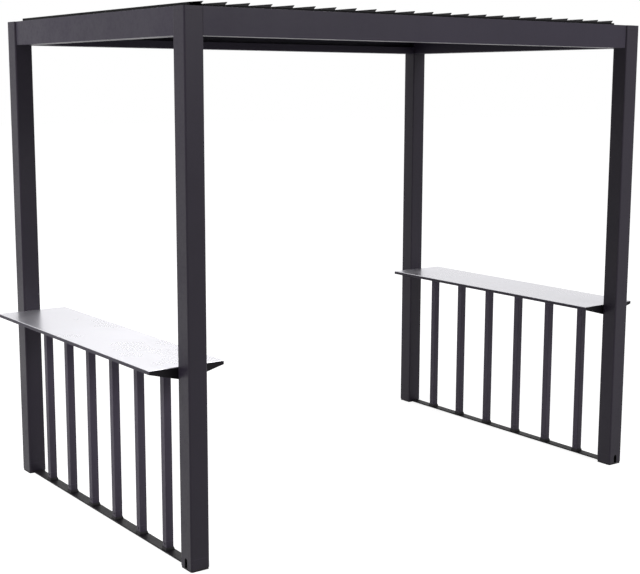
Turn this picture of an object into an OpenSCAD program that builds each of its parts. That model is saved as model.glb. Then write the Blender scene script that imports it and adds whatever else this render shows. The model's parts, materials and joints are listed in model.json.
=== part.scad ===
// Free-standing louvred pergola with a bar counter over a baluster railing on each short side.
// X runs along the long side, Y along the short side, Z up; the origin is on the ground,
// midway between the posts. All sizes are in millimetres.

/* [Overall] */
// Length along X over the outer faces of the posts
frame_length = 3000; // [2400:10:4000]
// Depth along Y over the outer faces of the posts
frame_depth = 1970; // [1600:10:2800]
// Height from the ground to the top of the beams
frame_height = 2600; // [2200:10:3000]

/* [Posts] */
// Width of a square post
post_size = 100; // [80:1:140]
// Wall thickness of a post
post_wall = 3; // [2:0.5:5]
// Radius of a post's upright corners
post_corner_r = 8; // [4:1:15]
// Height of the black pad under a post
foot_height = 10; // [6:1:20]
// How far a pad stands back from the post's faces
foot_inset = 1.5; // [0.5:0.5:5]
// Height of the cap that closes the top of a post
cap_height = 18; // [10:1:30]
// Thickness of a cap's top and sides
cap_wall = 4; // [2:0.5:6]
// Width of the rainwater outlet at the bottom of a post
outlet_w = 24; // [12:1:40]
// Height of the rainwater outlet
outlet_h = 48; // [30:1:80]

/* [Beams] */
// Height of a roof beam
beam_height = 128; // [100:1:200]
// Width of a beam's closed box section
beam_box_w = 52; // [40:1:70]
// Wall thickness of a beam
beam_wall = 3; // [2:0.5:5]
// How far a beam's outer face stands back from the posts' outer faces
beam_recess = 8; // [0:1:20]
// Height of the gutter's inner wall on the front and back beams
gutter_lip_h = 45; // [30:1:60]
// Drop from the beam top to the gutter's inner wall on the side beams
side_lip_drop = 6; // [3:1:12]

/* [Louvres] */
// Number of louvre blades that turn
louvre_count = 22; // [18:1:22]
// Distance from a post's outer face to the edge of the louvre field
louvre_margin = 144; // [130:1:200]
// Thickness of a blade
louvre_thick = 20; // [14:1:26]
// Wall thickness of a hollow blade
louvre_wall = 1.5; // [1:0.25:3]
// How far a blade's slanted edges lean over
louvre_lean = 20; // [10:1:24]
// Blunt height of a blade's sharp edges
louvre_edge = 2.5; // [1:0.5:4]
// Tilt of the closed blades
louvre_tilt = 5.6; // [5:0.1:9]
// Gap between the slanted edges of two closed blades
louvre_gap = 6; // [5:0.5:10]
// Gap between a blade's end and its pivot rail
louvre_end_gap = 5; // [5:0.5:10]
// Height of a blade's mid-plane above its pivot
pivot_drop = 15; // [13:1:20]
// Distance from the beam top down to the pivots
pivot_below_top = 5; // [2:1:15]
// Radius of a pivot pin
pin_r = 5; // [4:0.5:8]
// Radial clearance of a pin in its rail
pin_clearance = 0.1; // [0.05:0.05:0.3]
// Radius of the boss that holds a pin
boss_r = 10; // [8:0.5:12]
// Length of the boss along the blade
boss_length = 30; // [15:1:60]
// Thickness of a pivot rail
rail_thick = 8; // [5:1:12]
// Height of a pivot rail above the beam top
rail_rise = 12; // [11:1:20]
// Distance from the beam top down to a pivot rail's lower edge
rail_drop = 25; // [18:1:40]
// Thickness of the strip that closes the right-hand gap
strip_thick = 3; // [2:0.5:5]
// How far that strip reaches under the last blade
strip_reach = 24; // [10:1:30]

/* [Counters] */
// Height of a counter's top surface
counter_height = 970; // [850:5:1150]
// Width of a counter
counter_width = 400; // [300:10:600]
// Thickness of the counter plate and of its edge strips
counter_plate = 3; // [2:0.5:6]
// Height of a counter's edge, plate included
counter_edge = 20; // [15:1:40]
// Thickness of an end bracket
bracket_thick = 6; // [4:1:12]
// Height of an end bracket at the post
bracket_height = 55; // [40:1:100]
// Side clearance of a bracket inside the edge strips
bracket_clearance = 0.5; // [0.3:0.1:2]

/* [Railings] */
// Number of balusters under a counter
baluster_count = 6; // [2:1:6]
// Distance between baluster centres
baluster_pitch = 270; // [150:5:285]
// Width of a square baluster, and of the rail over it
baluster_size = 40; // [30:1:50]
// Wall thickness of a baluster and of the top rail
baluster_wall = 2; // [1.5:0.5:4]
// Radius of a baluster's upright corners
baluster_corner_r = 3; // [1:0.5:6]
// Width of the flat bottom bar
bottom_bar_w = 56; // [44:1:80]
// Thickness of the flat bottom bar
bottom_bar_h = 8; // [5:1:15]
// Height of the bottom bar above the ground
bottom_bar_lift = 5; // [2:1:30]

/* [Hidden] */
$fn = 48;
half_x = frame_length / 2;
half_y = frame_depth / 2;
post_x = half_x - post_size / 2;
post_y = half_y - post_size / 2;
inner_x = half_x - post_size;
inner_y = half_y - post_size;

// Beam section: a closed box with an open gutter that ends flush with the posts' inner faces.
beam_width = post_size - beam_recess;
beam_z = frame_height - beam_height;
side_lip_h = beam_height - side_lip_drop;

// Louvre blade section, about its pivot: u across the blade, v up.
lean_angle = atan(louvre_lean / louvre_thick);
field_start = -half_x + louvre_margin;
field_end = half_x - louvre_margin;
pitch = (field_end - field_start) / louvre_count;
face_w = (pitch * cos(louvre_tilt - lean_angle) - louvre_gap) / cos(lean_angle);
low_u = (face_w - louvre_lean) / 2;
tip_u = low_u + louvre_lean;
top_v = pivot_drop + louvre_thick / 2;
bottom_v = pivot_drop - louvre_thick / 2;
edge_u = louvre_lean * louvre_edge / louvre_thick;
pivot_z = frame_height - pivot_below_top;
tip_reach = tip_u * cos(louvre_tilt) - top_v * sin(louvre_tilt);
beam_inner_y = half_y - beam_recess - beam_box_w;
rail_y = beam_inner_y - rail_thick;
louvre_length = 2 * (rail_y - louvre_end_gap);
pin_end_gap = 1;

// The gutter's inner wall stays clear under a blade that stands upright.
blade_clearance = 4;
low_lip_h = max(2 * beam_wall,
                min(gutter_lip_h, beam_height - pivot_below_top - tip_u - blade_clearance));

counter_z = counter_height - counter_plate;
bracket_half = counter_width / 2 - counter_plate - bracket_clearance;
railing_half = inner_y - bracket_thick;
bottom_bar_top = bottom_bar_lift + bottom_bar_h;
top_rail_z = counter_z - baluster_size;

louvre_names = [for (i = [1 : louvre_count]) str("louvre_", i < 10 ? "0" : "", i)];

module at_posts() {
    for (sx = [-1, 1], sy = [-1, 1])
        translate([sx * post_x, sy * post_y, 0]) children();
}

// A square with round corners, centred on the origin.
module rounded_square(size, r) {
    square([size, size - 2 * r], center = true);
    square([size - 2 * r, size], center = true);
    for (sx = [-1, 1], sy = [-1, 1])
        translate([sx * (size / 2 - r), sy * (size / 2 - r)]) circle(r);
}

// A square tube standing on z = 0.
module square_tube(size, wall, r, height) {
    linear_extrude(height) difference() {
        rounded_square(size, r);
        square(size - 2 * wall, center = true);
    }
}

// The post's rainwater outlet is an arch through the wall on its -X side before turning.
module post(sx, sy, outlet_turn) {
    post_h = frame_height - cap_height - foot_height;
    color("#3f3b42") translate([sx * post_x, sy * post_y, foot_height]) rotate([0, 0, outlet_turn])
        difference() {
            square_tube(post_size, post_wall, post_corner_r, post_h);
            translate([-post_size / 2 - 1, -outlet_w / 2, -1])
                cube([post_wall + 2, outlet_w, outlet_h - outlet_w / 2 + 1]);
            translate([-post_size / 2 - 1, 0, outlet_h - outlet_w / 2])
                rotate([0, 90, 0]) cylinder(r = outlet_w / 2, h = post_wall + 2);
        }
}

module front_left_post() post(-1, -1, 0);
module front_right_post() post(1, -1, 90);
module back_right_post() post(1, 1, 180);
module back_left_post() post(-1, 1, 270);

module post_feet() {
    pad = post_size - 2 * foot_inset;
    color("#1b191c") at_posts() linear_extrude(foot_height) rounded_square(pad, post_corner_r);
}

module post_caps() {
    color("#3a363d") at_posts() translate([0, 0, frame_height - cap_height]) difference() {
        linear_extrude(cap_height) rounded_square(post_size, post_corner_r);
        hollow = post_size - 2 * cap_wall;
        translate([-hollow / 2, -hollow / 2, -1]) cube([hollow, hollow, cap_height - cap_wall + 1]);
    }
}

// The beam's section: x runs inwards from the outer face, y runs up from the underside.
module beam_section(lip_h) {
    box_in = beam_box_w - 2 * beam_wall;
    difference() {
        square([beam_box_w, beam_height]);
        translate([beam_wall, beam_wall]) square([box_in, beam_height - 2 * beam_wall]);
    }
    translate([beam_box_w - beam_wall, 0]) square([beam_width - beam_box_w + beam_wall, beam_wall]);
    translate([beam_width - beam_wall, 0]) square([beam_wall, lip_h]);
}

// A beam of the given length, centred on the origin, with its outer face at the given distance.
module beam(length, outer, lip_h) {
    color("#46424a") translate([-length / 2, -outer, beam_z]) rotate([90, 0, 90])
        linear_extrude(length) beam_section(lip_h);
}

module front_beam() beam(2 * inner_x, half_y - beam_recess, low_lip_h);
module back_beam() rotate([0, 0, 180]) beam(2 * inner_x, half_y - beam_recess, low_lip_h);
module left_beam() rotate([0, 0, 270]) beam(2 * inner_y, half_x - beam_recess, side_lip_h);
module right_beam() rotate([0, 0, 90]) beam(2 * inner_y, half_x - beam_recess, side_lip_h);

function louvre_x(i) = field_start + pitch * (i + 1) - tip_reach;

module pivot_rail() {
    rail_h = rail_drop + rail_rise;
    color("#17151a") difference() {
        translate([field_start, -beam_inner_y, frame_height - rail_drop])
            cube([field_end - field_start, rail_thick, rail_h]);
        for (i = [0 : louvre_count - 1])
            translate([louvre_x(i), -beam_inner_y - 1, pivot_z]) rotate([-90, 0, 0])
                cylinder(r = pin_r + pin_clearance, h = rail_thick + 2);
    }
}

module front_pivot_rail() pivot_rail();
module back_pivot_rail() mirror([0, 1, 0]) pivot_rail();

// A blade's outline about its pivot, with one edge leaning out over the next blade.
module blade_outline() {
    polygon([
        [-tip_u, bottom_v], [low_u, bottom_v],
        [tip_u - edge_u, top_v - louvre_edge], [tip_u, top_v - louvre_edge], [tip_u, top_v],
        [-low_u, top_v],
        [-tip_u + edge_u, bottom_v + louvre_edge], [-tip_u, bottom_v + louvre_edge]]);
}

// One of a blade's two inner cells; side is -1 for the low half and 1 for the raised half.
module blade_cell(side) {
    shift = louvre_wall / cos(lean_angle);
    rise = louvre_lean * louvre_wall / louvre_thick;
    low = bottom_v + louvre_wall;
    high = top_v - louvre_wall;
    web = side * louvre_wall / 2;
    if (side > 0)
        polygon([[web, low], [low_u + rise - shift, low], [tip_u - rise - shift, high], [web, high]]);
    else
        polygon([[web, low], [-tip_u + rise + shift, low], [-low_u - rise + shift, high], [web, high]]);
}

module louvre(i) {
    pin_length = louvre_length + 2 * (louvre_end_gap + rail_thick - pin_end_gap);
    color("#1c1a1e") translate([louvre_x(i), 0, pivot_z]) rotate([0, -louvre_tilt, 0])
        rotate([90, 0, 0]) difference() {
            union() {
                linear_extrude(louvre_length, center = true) blade_outline();
                for (s = [-1, 1])
                    translate([0, 0, s * (louvre_length - boss_length) / 2])
                        cylinder(r = boss_r, h = boss_length, center = true);
                for (s = [-1, 1])
                    translate([0, 0, s * (pin_length - boss_length) / 2])
                        cylinder(r = pin_r, h = boss_length, center = true);
            }
            for (side = [-1, 1])
                linear_extrude(louvre_length + 2, center = true) difference() {
                    blade_cell(side);
                    circle(boss_r + louvre_wall);
                }
        }
}

// The fixed blade at the left edge: its raised edge matches the moving blades, and its other
// edge is cut off against the left beam's box, with a foot on the gutter's wall.
module left_closing_louvre() {
    box_face = -half_x + beam_recess + beam_box_w;
    lip_top = beam_z + side_lip_h;
    color("#1c1a1e") rotate([90, 0, 0]) difference() {
        union() {
            linear_extrude(louvre_length, center = true) intersection() {
                translate([louvre_x(-1), pivot_z]) rotate(louvre_tilt) blade_outline();
                translate([box_face, frame_height]) square([louvre_margin, beam_height]);
            }
            linear_extrude(2 * inner_y, center = true) translate([-inner_x - beam_wall, lip_top])
                square([beam_wall, pivot_z + pivot_drop - lip_top]);
        }
        linear_extrude(louvre_length + 2, center = true)
            translate([louvre_x(-1), pivot_z]) rotate(louvre_tilt) blade_cell(1);
    }
}

// The strip lies on the gutter's wall and is notched round the posts.
module right_closing_strip() {
    box_face = half_x - beam_recess - beam_box_w;
    start = field_end - strip_reach;
    color("#1c1a1e") translate([0, 0, beam_z + side_lip_h]) linear_extrude(strip_thick) {
        translate([start, -louvre_length / 2]) square([inner_x - start, louvre_length]);
        translate([start, -inner_y]) square([box_face - start, 2 * inner_y]);
    }
}

// A counter is a pale plate lying on a dark edge strip along each long side.
module counter_top(side) {
    color("#dcdbe0") translate([side * post_x - counter_width / 2, -inner_y, counter_z])
        cube([counter_width, 2 * inner_y, counter_plate]);
}

module left_counter_top() counter_top(-1);
module right_counter_top() counter_top(1);

module counter_edges(side) {
    edge_x = (counter_width - counter_plate) / 2;
    color("#4a474e") for (s = [-1, 1])
        translate([side * post_x + s * edge_x - counter_plate / 2, -inner_y,
                   counter_height - counter_edge])
            cube([counter_plate, 2 * inner_y, counter_edge - counter_plate]);
}

module left_counter_edges() counter_edges(-1);
module right_counter_edges() counter_edges(1);

// Each bracket closes a counter's end and tapers from the post out to the counter's edges.
module counter_brackets(side) {
    edge_z = counter_height - counter_edge;
    deep_z = counter_z - bracket_height;
    color("#262328") for (s = [-1, 1])
        translate([side * post_x, s * (inner_y - bracket_thick / 2), 0]) rotate([90, 0, 0])
            linear_extrude(bracket_thick, center = true) polygon([
                [-bracket_half, counter_z], [-bracket_half, edge_z],
                [-post_size / 2, deep_z], [post_size / 2, deep_z],
                [bracket_half, edge_z], [bracket_half, counter_z]]);
}

module left_counter_brackets() counter_brackets(-1);
module right_counter_brackets() counter_brackets(1);

module top_rail(side) {
    tube_in = baluster_size - 2 * baluster_wall;
    color("#454148") translate([side * post_x, 0, top_rail_z + baluster_size / 2])
        rotate([90, 0, 0]) linear_extrude(2 * railing_half, center = true) difference() {
            square(baluster_size, center = true);
            square(tube_in, center = true);
        }
}

module left_top_rail() top_rail(-1);
module right_top_rail() top_rail(1);

module balusters(side) {
    first = -baluster_pitch * (baluster_count - 1) / 2;
    color("#444148") for (i = [0 : baluster_count - 1])
        translate([side * post_x, first + i * baluster_pitch, bottom_bar_top])
            square_tube(baluster_size, baluster_wall, baluster_corner_r, top_rail_z - bottom_bar_top);
}

module left_balusters() balusters(-1);
module right_balusters() balusters(1);

module bottom_bar(side) {
    color("#37343a") translate([side * post_x - bottom_bar_w / 2, -inner_y, bottom_bar_lift])
        cube([bottom_bar_w, 2 * inner_y, bottom_bar_h]);
}

module left_bottom_bar() bottom_bar(-1);
module right_bottom_bar() bottom_bar(1);

front_left_post();
front_right_post();
back_left_post();
back_right_post();
post_feet();
post_caps();
front_beam();
back_beam();
left_beam();
right_beam();
front_pivot_rail();
back_pivot_rail();
left_closing_louvre();
right_closing_strip();
left_counter_top();
right_counter_top();
left_counter_edges();
right_counter_edges();
left_counter_brackets();
right_counter_brackets();
left_top_rail();
right_top_rail();
left_balusters();
right_balusters();
left_bottom_bar();
right_bottom_bar();
for (i = [0 : louvre_count - 1])
    louvre(i);
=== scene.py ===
"""Looks of the louvred pergola with bar counters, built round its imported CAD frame."""

import json
import math

import bmesh
import bpy
from mathutils import Matrix, Vector
from mathutils.geometry import convex_hull_2d


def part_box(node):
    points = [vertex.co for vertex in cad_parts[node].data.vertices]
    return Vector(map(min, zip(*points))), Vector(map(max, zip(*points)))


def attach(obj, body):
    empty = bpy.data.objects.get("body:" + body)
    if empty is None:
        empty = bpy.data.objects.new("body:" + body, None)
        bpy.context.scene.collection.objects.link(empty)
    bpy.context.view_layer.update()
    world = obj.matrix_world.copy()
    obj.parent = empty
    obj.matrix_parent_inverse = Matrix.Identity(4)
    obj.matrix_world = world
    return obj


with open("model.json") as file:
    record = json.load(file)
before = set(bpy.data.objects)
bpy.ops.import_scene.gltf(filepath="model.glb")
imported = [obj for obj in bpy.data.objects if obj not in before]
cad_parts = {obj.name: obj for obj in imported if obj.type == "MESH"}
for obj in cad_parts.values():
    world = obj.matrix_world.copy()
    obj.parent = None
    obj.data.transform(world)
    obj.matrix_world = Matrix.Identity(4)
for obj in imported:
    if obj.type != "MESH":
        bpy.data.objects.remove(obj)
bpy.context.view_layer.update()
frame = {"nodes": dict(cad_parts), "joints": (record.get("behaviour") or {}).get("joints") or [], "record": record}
nodes = frame["nodes"]

# Sizes in metres.
CAP_THICK = 0.002
SEAL_RADIUS = 0.0022
SEAL_END = 0.01
SLANT_MIN = 0.01
BOSS_REACH = 0.013
BUSH_OUTER = 0.0085
BUSH_INNER = 0.0052
BUSH_THICK = 0.0016
BALUSTERS = 6
SHOE_SPREAD = 0.0045
SHOE_HEIGHT = 0.014
SCREW_RADIUS = 0.0055
SCREW_HEIGHT = 0.003
BRACKET_SCREW_X = 0.036
BRACKET_SCREW_DROP = 0.028
JOINT_SEAL_WIDTH = 0.0022
JOINT_SEAL_PROUD = 0.0008
OUTLET_WIDTH = 0.024
OUTLET_HEIGHT = 0.048
OUTLET_LIP = 0.0016
OUTLET_DEPTH = 0.004
POST_WIDTH = 0.1
SEAM_HEIGHT = 0.06
NEAR_FLOOR = 2.2
FAR_FLOOR = 7.0


# ---------------------------------------------------------------- meshes

def rounded_outline(half, radius, steps=5):
    """Corner points of a rounded square, counter-clockwise."""
    points = []
    for k, (sx, sy) in enumerate([(1, 1), (-1, 1), (-1, -1), (1, -1)]):
        for i in range(steps + 1):
            a = math.pi / 2 * (k + i / steps)
            points.append((sx * (half - radius) + radius * math.cos(a),
                           sy * (half - radius) + radius * math.sin(a)))
    return points


def loop(bm, points):
    return [bm.verts.new(p) for p in points]


def skin(bm, loops, closed=False):
    """Joins rings of vertices one to the next; closed also joins the last to the first."""
    pairs = list(zip(loops, loops[1:])) + ([(loops[-1], loops[0])] if closed else [])
    for a, b in pairs:
        for i in range(len(a)):
            j = (i + 1) % len(a)
            bm.faces.new((a[i], a[j], b[j], b[i]))


def prism(bm, points, shift):
    """A solid from a flat outline of 3-D points, moved along shift."""
    low = loop(bm, points)
    high = loop(bm, [Vector(p) + shift for p in points])
    skin(bm, [low, high])
    bm.faces.new(list(reversed(low)))
    bm.faces.new(high)


def block(bm, lo, hi):
    prism(bm, [(lo[0], lo[1], lo[2]), (hi[0], lo[1], lo[2]),
               (hi[0], hi[1], lo[2]), (lo[0], hi[1], lo[2])], Vector((0, 0, hi[2] - lo[2])))


def lathe(bm, profile, place, segments=24, closed=False):
    """Turns (radius, height) points about Z, then places the result."""
    loops = []
    for r, h in profile:
        loops.append(loop(bm, [place @ Vector((r * math.cos(a), r * math.sin(a), h)) for a in
                               (2 * math.pi * i / segments for i in range(segments))]))
    skin(bm, loops, closed)
    if not closed:
        bm.faces.new(list(reversed(loops[0])))
        bm.faces.new(loops[-1])


def facing(position, direction):
    """A placement that turns +Z to the direction."""
    turn = Vector(direction).to_track_quat("Z", "Y").to_matrix().to_4x4()
    return Matrix.Translation(position) @ turn


def screw(bm, position, direction):
    """A pan-head screw with a round driver recess."""
    r, h = SCREW_RADIUS, SCREW_HEIGHT
    lathe(bm, [(r, 0), (r, 0.4 * h), (0.93 * r, 0.7 * h), (0.7 * r, 0.95 * h), (0.5 * r, h),
               (0.42 * r, h), (0.38 * r, 0.35 * h), (0.1 * r, 0.3 * h)],
          facing(position, direction))


def finish_piece(name, bm, body, material, bevel=0.0):
    """Makes one shown piece from a bmesh and joins it to its CAD body."""
    bmesh.ops.recalc_face_normals(bm, faces=bm.faces)
    mesh = bpy.data.meshes.new(name)
    bm.to_mesh(mesh)
    bm.free()
    for face in mesh.polygons:
        face.use_smooth = True
    mesh.set_sharp_from_angle(angle=math.radians(35))
    piece = bpy.data.objects.new(name, mesh)
    bpy.context.scene.collection.objects.link(piece)
    mesh.materials.append(material)
    if bevel:
        soften(piece, bevel)
    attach(piece, body)
    return piece


def soften(thing, width, segments=2):
    """Small round edges that catch the light, with the CAD corners left in the mesh."""
    weld = thing.modifiers.new("weld", "WELD")
    weld.merge_threshold = 1e-5
    bevel = thing.modifiers.new("edge", "BEVEL")
    bevel.width = width
    bevel.segments = segments
    bevel.limit_method = "ANGLE"
    bevel.angle_limit = math.radians(50)
    bevel.use_clamp_overlap = True
    bevel.harden_normals = False
    normals = thing.modifiers.new("normals", "WEIGHTED_NORMAL")
    normals.keep_sharp = True


# ---------------------------------------------------------------- materials

class Nodes:
    """Short calls for building a material's nodes."""

    def __init__(self, name):
        self.material = bpy.data.materials.new(name)
        self.material.use_nodes = True
        self.tree = self.material.node_tree
        self.shader = self.tree.nodes["Principled BSDF"]
        self.place = self.tree.nodes.new("ShaderNodeTexCoord").outputs["Object"]

    def add(self, kind, inputs=(), **settings):
        node = self.tree.nodes.new(kind)
        for key, value in settings.items():
            setattr(node, key, value)
        for key, value in dict(inputs).items():
            if isinstance(value, bpy.types.NodeSocket):
                self.tree.links.new(value, node.inputs[key])
            else:
                node.inputs[key].default_value = value
        return node

    def noise(self, scale, detail=3.0, stretch=(1, 1, 1)):
        spot = self.add("ShaderNodeMapping", {"Vector": self.place, "Scale": stretch})
        return self.add("ShaderNodeTexNoise", {"Vector": spot.outputs[0], "Scale": scale,
                                               "Detail": detail}).outputs["Fac"]

    def ramp(self, value, low, high, to_low=0.0, to_high=1.0):
        return self.add("ShaderNodeMapRange", {"Value": value, "From Min": low, "From Max": high,
                                               "To Min": to_low, "To Max": to_high}).outputs[0]

    def math(self, operation, a, b=0.0):
        return self.add("ShaderNodeMath", {0: a, 1: b}, operation=operation).outputs[0]

    def mix(self, factor, a, b):
        node = self.add("ShaderNodeMix", {0: factor, 6: a, 7: b}, data_type="RGBA")
        return node.outputs[2]

    def edges(self, radius):
        """1 at sharp edges and 0 on flats."""
        round_normal = self.add("ShaderNodeBevel", {"Radius": radius}, samples=6).outputs[0]
        flat = self.add("ShaderNodeNewGeometry").outputs["Normal"]
        dot = self.add("ShaderNodeVectorMath", {0: round_normal, 1: flat}, operation="DOT_PRODUCT")
        return self.ramp(dot.outputs["Value"], 0.995, 0.8)

    def upward(self):
        """1 on faces that look up."""
        normal = self.add("ShaderNodeNewGeometry").outputs["Normal"]
        z = self.add("ShaderNodeSeparateXYZ", {0: normal}).outputs[2]
        return self.ramp(z, 0.6, 1.0)

    def height(self):
        return self.add("ShaderNodeSeparateXYZ", {0: self.place}).outputs[2]

    def bump(self, height, strength, distance, under=None):
        inputs = {"Height": height, "Strength": strength, "Distance": distance}
        if under is not None:
            inputs["Normal"] = under
        return self.add("ShaderNodeBump", inputs).outputs[0]

    def set(self, **inputs):
        for key, value in inputs.items():
            key = key.replace("_", " ")
            if isinstance(value, bpy.types.NodeSocket):
                self.tree.links.new(value, self.shader.inputs[key])
            else:
                self.shader.inputs[key].default_value = value
        return self.material


def linear(hex_colour, gain=1.0):
    """A linear colour from an sRGB hex code."""
    out = []
    for i in (0, 2, 4):
        c = int(hex_colour[i:i + 2], 16) / 255
        out.append(gain * (c / 12.92 if c < 0.04045 else ((c + 0.055) / 1.055) ** 2.4))
    return (*out, 1.0)


def powder_coat(name, colour, roughness, worn=2.2, dust=0.06, specular=0.2,
                painted_foot_shade=False):
    """Baked powder paint: fine orange peel, faint streaks, rubbed edges and a little dust. The foot option adds
    painted shade, darker towards the bottom, and a painted highlight line at the seam height.
    """
    n = Nodes(name)
    patches = n.ramp(n.noise(1.7, 5), 0.3, 0.7)
    streaks = n.ramp(n.noise(14, 4, (1, 1, 0.08)), 0.35, 0.75, 0.0, 0.6)
    base = n.mix(patches, linear(colour, 0.9), linear(colour, 1.12))
    base = n.mix(n.math("MULTIPLY", streaks, 0.35), base, linear(colour, 1.3))
    scuffs = n.ramp(n.noise(60, 6), 0.45, 0.7)
    rub = n.math("MULTIPLY", n.edges(0.0016), n.ramp(n.noise(25, 4), 0.3, 0.65, 0.25, 0.9))
    base = n.mix(rub, base, linear(colour, worn))
    settled = n.math("MULTIPLY", n.upward(), n.ramp(n.noise(6, 6), 0.35, 0.75, 0.3 * dust, dust))
    base = n.mix(settled, base, linear("a7a39b"))
    if painted_foot_shade:
        # Painted shade: the paint grows darker towards the bottom, in mottled patches.
        low = n.ramp(n.height(), 0.55, 0.0, 0.0, 0.55)
        painted_low_shade = n.math("MULTIPLY", low, n.ramp(n.noise(30, 6, (1, 1, 0.5)), 0.35, 0.7, 0.5, 1.0))
        base = n.mix(painted_low_shade, base, linear(colour, 0.55))
        # Painted highlight: a thin lighter line at the seam height.
        away = n.math("ABSOLUTE", n.math("SUBTRACT", n.height(), SEAM_HEIGHT))
        seam_highlight = n.ramp(away, 0.0011, 0.0004)
        base = n.mix(n.math("MULTIPLY", seam_highlight, 0.5), base, linear(colour, 2.2))
    peel = n.noise(420, 2)
    wave = n.noise(40, 2)
    normal = n.bump(wave, 0.12, 0.0008, n.bump(peel, 0.22, 0.00025))
    gloss = n.math("ADD", n.ramp(n.noise(5, 5), 0.3, 0.7, roughness - 0.05, roughness + 0.06),
                   n.math("MULTIPLY", scuffs, 0.08))
    return n.set(Base_Color=base, Roughness=gloss, Normal=normal, Specular_IOR_Level=specular)


def satin_metal(name, colour):
    """Pale brushed sheet: fine lines along the counter, faint stains, a soft reflection and a painted highlight
    along the edges.
    """
    n = Nodes(name)
    grain = n.noise(160, 3, (1, 0.02, 1))
    stain = n.ramp(n.noise(3.5, 6), 0.35, 0.7)
    base = n.mix(stain, linear(colour, 1.0), linear(colour, 0.97))
    base = n.mix(n.ramp(grain, 0.35, 0.7, 0.0, 0.25), base, linear(colour, 0.9))
    # Painted highlight: the edges are mixed towards near white.
    base = n.mix(n.math("MULTIPLY", n.edges(0.0012), 0.7), base, linear("f6f5f8"))
    marks = n.ramp(n.noise(45, 6), 0.6, 0.8, 0.0, 0.04)
    gloss = n.math("ADD", n.ramp(n.noise(2.5, 3), 0.3, 0.7, 0.25, 0.3), marks)
    normal = n.bump(grain, 0.03, 0.0002)
    return n.set(Base_Color=base, Metallic=0.85, Roughness=gloss, Normal=normal)


def plastic(name, colour, roughness):
    """Matt moulded plastic with a fine spark-eroded grain."""
    n = Nodes(name)
    base = n.mix(n.ramp(n.noise(22, 5), 0.3, 0.7), linear(colour, 0.85), linear(colour, 1.2))
    base = n.mix(n.math("MULTIPLY", n.edges(0.0008), 0.5), base, linear(colour, 2.0))
    gloss = n.ramp(n.noise(60, 4), 0.3, 0.7, roughness - 0.08, roughness + 0.08)
    return n.set(Base_Color=base, Roughness=gloss, Specular_IOR_Level=0.2,
                 Normal=n.bump(n.noise(900, 2), 0.3, 0.0002))


def screw_steel(name, colour):
    """Dark plated screw heads with bright rubbed rims."""
    n = Nodes(name)
    base = n.mix(n.ramp(n.noise(300, 4), 0.35, 0.7), linear(colour, 0.8), linear(colour, 1.3))
    base = n.mix(n.math("MULTIPLY", n.edges(0.0006), 0.8), base, linear("8d8c92"))
    gloss = n.ramp(n.noise(200, 3), 0.3, 0.7, 0.28, 0.42)
    return n.set(Base_Color=base, Metallic=0.9, Roughness=gloss,
                 Normal=n.bump(n.noise(700, 2), 0.15, 0.0001))


paint = powder_coat("frame_paint", "2e2936", 0.42)
post_paint = powder_coat("post_paint", "2a2530", 0.40, painted_foot_shade=True)
rail_paint = powder_coat("railing_paint", "46404e", 0.44, painted_foot_shade=True)
louvre_paint = powder_coat("louvre_paint", "09080b", 0.5, worn=2.4, dust=0.02, specular=0.07)
bracket_paint = powder_coat("bracket_paint", "110f13", 0.45, dust=0.01, specular=0.12)
plate_metal = satin_metal("counter_plate", "dcdbe1")
black = plastic("black_plastic", "1a181b", 0.55)
rubber = plastic("seal_rubber", "121113", 0.75)
bolts = screw_steel("dark_screws", "3a383e")

LOOKS = {"frame_paint": paint, "louvre_paint": louvre_paint, "counter_plate": plate_metal,
         "bracket_paint": bracket_paint, "black_plastic": black}
slots = {s["node"]: s["material_slot"] for s in frame["record"]["subparts"]}
for name, node in nodes.items():
    look = LOOKS[slots[name]]
    if name.endswith("_post") or name == "post_caps":
        look = post_paint
    elif name.endswith(("_balusters", "_top_rail")):
        look = rail_paint
    elif name.endswith("_bottom_bar"):
        look = bracket_paint
    node.data.materials.clear()
    node.data.materials.append(look)
    if not name.endswith("pivot_rail"):
        soften(node, 0.0006 if name.startswith("louvre") else 0.001)


# ---------------------------------------------------------------- louvre trim

def blade_end(node, pivot):
    """The blade's outline at its end without the pin's boss, as (x, z) points, and its end Y."""
    places = [v.co for v in node.data.vertices]
    pin_end = max(p.y for p in places)
    end = max(p.y for p in places if p.y < pin_end - CAP_THICK)
    flat = [(p.x, p.z) for p in places if abs(p.y - end) < 1e-4
            and math.hypot(p.x - pivot[0], p.z - pivot[2]) > BOSS_REACH]
    return [flat[i] for i in convex_hull_2d(flat)], end


def slanted_edge(outline):
    """The middle of the outline's edge that faces down and towards +X."""
    best, middle = -1.0, None
    for (x0, z0), (x1, z1) in zip(outline, outline[1:] + outline[:1]):
        length = math.hypot(x1 - x0, z1 - z0)
        if length < SLANT_MIN:
            continue
        towards = ((z1 - z0) + (x1 - x0)) / (length * math.sqrt(2))
        if towards > best:
            best, middle = towards, ((x0 + x1) / 2, (z0 + z1) / 2)
    return middle


def louvre_trim(name, node, pivot):
    outline, end = blade_end(node, pivot)
    bm = bmesh.new()
    for side in (-1, 1):
        prism(bm, [(x, side * end, z) for x, z in outline], Vector((0, side * CAP_THICK, 0)))
    finish_piece(name + "_end_caps", bm, name, black, bevel=0.0006)
    x, z = slanted_edge(outline)
    bm = bmesh.new()
    ring = [(x + SEAL_RADIUS * math.cos(a), SEAL_END - end, z + SEAL_RADIUS * math.sin(a))
            for a in (2 * math.pi * i / 12 for i in range(12))]
    prism(bm, ring, Vector((0, 2 * (end - SEAL_END), 0)))
    finish_piece(name + "_seal", bm, name, rubber)


louvres = sorted(n for n in nodes if n.startswith("louvre_"))
pivots = {j["child"]: j["pos_m"] for j in frame["joints"]}
for name in louvres:
    louvre_trim(name, nodes[name], pivots[name])


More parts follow.
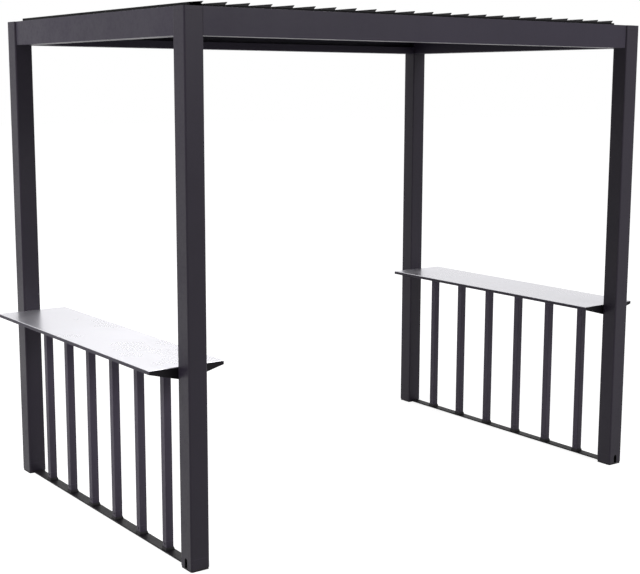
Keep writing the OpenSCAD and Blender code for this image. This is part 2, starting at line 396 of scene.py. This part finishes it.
def pivot_bushings(rail, side):
    """A collar round each pin on the rail's inner face."""
    low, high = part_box(rail)
    face = high.y if side < 0 else low.y
    bm = bmesh.new()
    for joint in frame["joints"]:
        x, _, z = joint["pos_m"]
        lathe(bm, [(BUSH_INNER, 0), (BUSH_OUTER, 0), (BUSH_OUTER, 0.7 * BUSH_THICK),
                   (0.9 * BUSH_OUTER, BUSH_THICK), (BUSH_INNER, BUSH_THICK)],
              facing((x, face, z), (0, -side, 0)), closed=True)
    finish_piece(rail.replace("rail", "bushings"), bm, "frame", black)


pivot_bushings("front_pivot_rail", -1)
pivot_bushings("back_pivot_rail", 1)


# ---------------------------------------------------------------- railing and counter fittings

def baluster_shoes(side):
    """A tapered collar round the foot of each baluster, with a screw in two of its sides."""
    low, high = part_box(side + "_balusters")
    size = high.x - low.x
    centre_x = (low.x + high.x) / 2
    step = (high.y - low.y - size) / (BALUSTERS - 1)
    shoes, screws = bmesh.new(), bmesh.new()
    for i in range(BALUSTERS):
        y = low.y + size / 2 + i * step
        rings = []
        for half, z in ((size / 2 + SHOE_SPREAD, 0.0), (size / 2 + SHOE_SPREAD, 0.4 * SHOE_HEIGHT),
                        (size / 2 + 0.3 * SHOE_SPREAD, SHOE_HEIGHT), (size / 2, SHOE_HEIGHT),
                        (size / 2, 0.0)):
            rings.append(loop(shoes, [(centre_x + u, y + v, low.z + z)
                                      for u, v in rounded_outline(half, SHOE_SPREAD)]))
        skin(shoes, rings, closed=True)
        for s in (-1, 1):
            screw(screws, (centre_x + s * size / 2, y, low.z + 2.2 * SHOE_HEIGHT), (s, 0, 0))
    finish_piece(side + "_baluster_shoes", shoes, "frame", black)
    finish_piece(side + "_baluster_screws", screws, "frame", bolts)


def bracket_screws(side):
    low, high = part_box(side + "_counter_brackets")
    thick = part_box(side + "_counter_top")[1].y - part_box(side + "_top_rail")[1].y
    bm = bmesh.new()
    for end in (-1, 1):
        for s in (-1, 1):
            place = ((low.x + high.x) / 2 + s * BRACKET_SCREW_X, end * (high.y - thick),
                     high.z - BRACKET_SCREW_DROP)
            screw(bm, place, (0, -end, 0))
    finish_piece(side + "_bracket_screws", bm, "frame", bolts)


for side in ("left", "right"):
    baluster_shoes(side)
    bracket_screws(side)


# ---------------------------------------------------------------- beam joints and outlets

def beam_joint_seals():
    """A dark seal where each beam's outer face and underside meet the posts."""
    bm = bmesh.new()
    for name, along in (("front_beam", 0), ("back_beam", 0), ("left_beam", 1), ("right_beam", 1)):
        low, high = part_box(name)
        across = 1 - along
        outer_is_low = abs(low[across]) > abs(high[across])
        face = low[across] if outer_is_low else high[across]
        proud = face + (-JOINT_SEAL_PROUD if outer_is_low else JOINT_SEAL_PROUD)
        for end in (low[along], high[along] - JOINT_SEAL_WIDTH):
            a, b = Vector(), Vector()
            a[along], b[along] = end, end + JOINT_SEAL_WIDTH
            a[across], b[across] = min(face, proud), max(face, proud)
            a.z, b.z = low.z - JOINT_SEAL_PROUD, high.z
            block(bm, a, b)
            a[across], b[across] = low[across], high[across]
            b.z = low.z
            block(bm, a, b)
    finish_piece("beam_joint_seals", bm, "frame", rubber)


def arch(width, height, steps=14):
    """An arch standing on its base, as (across, up) points."""
    r = width / 2
    top = [(r * math.cos(a), height - r + r * math.sin(a))
           for a in (math.pi * i / steps for i in range(steps + 1))]
    return [(-r, 0.0), (r, 0.0)] + top


def outlet_rims():
    """A moulded liner in each post's rainwater outlet."""
    bm = bmesh.new()
    for name, (dx, dy) in (("front_left_post", (-1, 0)), ("front_right_post", (0, -1)),
                           ("back_right_post", (1, 0)), ("back_left_post", (0, 1))):
        low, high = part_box(name)
        out = Vector((dx, dy, 0))
        side = Vector((-dy, dx, 0))
        face = (low + high) / 2 + out * (POST_WIDTH / 2)
        face.z = low.z
        rings = []
        for inset, depth in ((0.0, OUTLET_DEPTH), (0.0, 0.0), (OUTLET_LIP, 0.0),
                             (OUTLET_LIP, OUTLET_DEPTH)):
            outline = arch(OUTLET_WIDTH - 2 * inset, OUTLET_HEIGHT - inset)
            rings.append(loop(bm, [face - out * depth + side * u + Vector((0, 0, max(v, 0.0002)))
                                   for u, v in outline]))
        skin(bm, rings, closed=True)
    finish_piece("outlet_rims", bm, "frame", black)


beam_joint_seals()
outlet_rims()


# ---------------------------------------------------------------- floor, light and camera

def bright_to_camera(material, colour, diffuse, strength):
    """Diffuse floor that camera, glossy and see-through rays find nearly white."""
    n = Nodes(material)
    path = n.add("ShaderNodeLightPath").outputs
    seen = n.math("MAXIMUM", path["Is Camera Ray"],
                  n.math("MAXIMUM", path["Is Glossy Ray"], path["Is Transmission Ray"]))
    away = n.add("ShaderNodeVectorMath", {0: n.place}, operation="LENGTH").outputs["Value"]
    seen = n.math("MULTIPLY", seen, n.ramp(away, NEAR_FLOOR, FAR_FLOOR, strength, 1.0))
    tone = n.mix(n.ramp(n.noise(0.4, 3), 0.3, 0.7), linear(colour, diffuse),
                 linear(colour, diffuse * 1.04))
    return n.set(Base_Color=tone, Roughness=1.0, Specular_IOR_Level=0.0,
                 Emission_Color=linear(colour), Emission_Strength=seen)


def studio():
    bm = bmesh.new()
    prism(bm, [(-60, -60, -0.05), (60, -60, -0.05), (60, 60, -0.05), (-60, 60, -0.05)],
          Vector((0, 0, 0.05)))
    mesh = bpy.data.meshes.new("floor")
    bmesh.ops.recalc_face_normals(bm, faces=bm.faces)
    bm.to_mesh(mesh)
    bm.free()
    floor = bpy.data.objects.new("floor", mesh)
    mesh.materials.append(bright_to_camera("floor", "ffffff", 0.5, 0.84))
    bpy.context.scene.collection.objects.link(floor)

    world = bpy.data.worlds.new("studio")
    bpy.context.scene.world = world
    world.use_nodes = True
    tree = world.node_tree
    back = tree.nodes["Background"]
    path = tree.nodes.new("ShaderNodeLightPath")
    either = tree.nodes.new("ShaderNodeMath")
    either.operation = "MAXIMUM"
    tree.links.new(path.outputs["Is Camera Ray"], either.inputs[0])
    glass = tree.nodes.new("ShaderNodeMath")
    glass.operation = "MAXIMUM"
    tree.links.new(path.outputs["Is Glossy Ray"], glass.inputs[0])
    tree.links.new(path.outputs["Is Transmission Ray"], glass.inputs[1])
    tree.links.new(glass.outputs[0], either.inputs[1])
    level = tree.nodes.new("ShaderNodeMapRange")
    level.inputs["To Min"].default_value = AMBIENT
    level.inputs["To Max"].default_value = 1.0
    tree.links.new(either.outputs[0], level.inputs["Value"])
    tree.links.new(level.outputs[0], back.inputs["Strength"])
    back.inputs["Color"].default_value = (1, 1, 1, 1)


def soft_lamp(name, position, target, size, power):
    lamp = bpy.data.lights.new(name, "AREA")
    lamp.shape = "SQUARE"
    lamp.size = size
    lamp.energy = power
    holder = bpy.data.objects.new(name, lamp)
    holder.location = position
    holder.rotation_mode = "QUATERNION"
    holder.rotation_quaternion = (Vector(target) - Vector(position)).to_track_quat("-Z", "Y")
    bpy.context.scene.collection.objects.link(holder)


def camera(position, azimuth, elevation, roll, lens):
    """Azimuth 0 looks along +Y; all angles in degrees."""
    a, e, r = (math.radians(v) for v in (azimuth, elevation, roll))
    back = Vector((math.sin(a) * math.cos(e), -math.cos(a) * math.cos(e), math.sin(e)))
    right = Vector((math.cos(a), math.sin(a), 0))
    up = back.cross(right)
    right, up = right * math.cos(r) + up * math.sin(r), up * math.cos(r) - right * math.sin(r)
    data = bpy.data.cameras.new("camera")
    data.lens = lens
    data.sensor_width = 36
    data.clip_end = 300
    holder = bpy.data.objects.new("camera", data)
    holder.matrix_world = Matrix.Translation(position) @ Matrix((right, up, back)).transposed().to_4x4()
    bpy.context.scene.collection.objects.link(holder)
    bpy.context.scene.camera = holder


AMBIENT = 0.12
studio()
soft_lamp("key", (-7.0, 0.6, 6.2), (-1.0, 0, 1.4), 3.0, 380)
soft_lamp("front", (2.6, -7.5, 5.6), (0.4, -1, 1.6), 3.5, 370)
soft_lamp("back", (3.0, 6.0, 6.5), (0, 0, 1.5), 4.0, 140)
camera((-4.2972, -5.8359, 2.2571), -36.089, 9.160, 0.186, 70.41)
bpy.context.scene.view_settings.view_transform = "Standard"
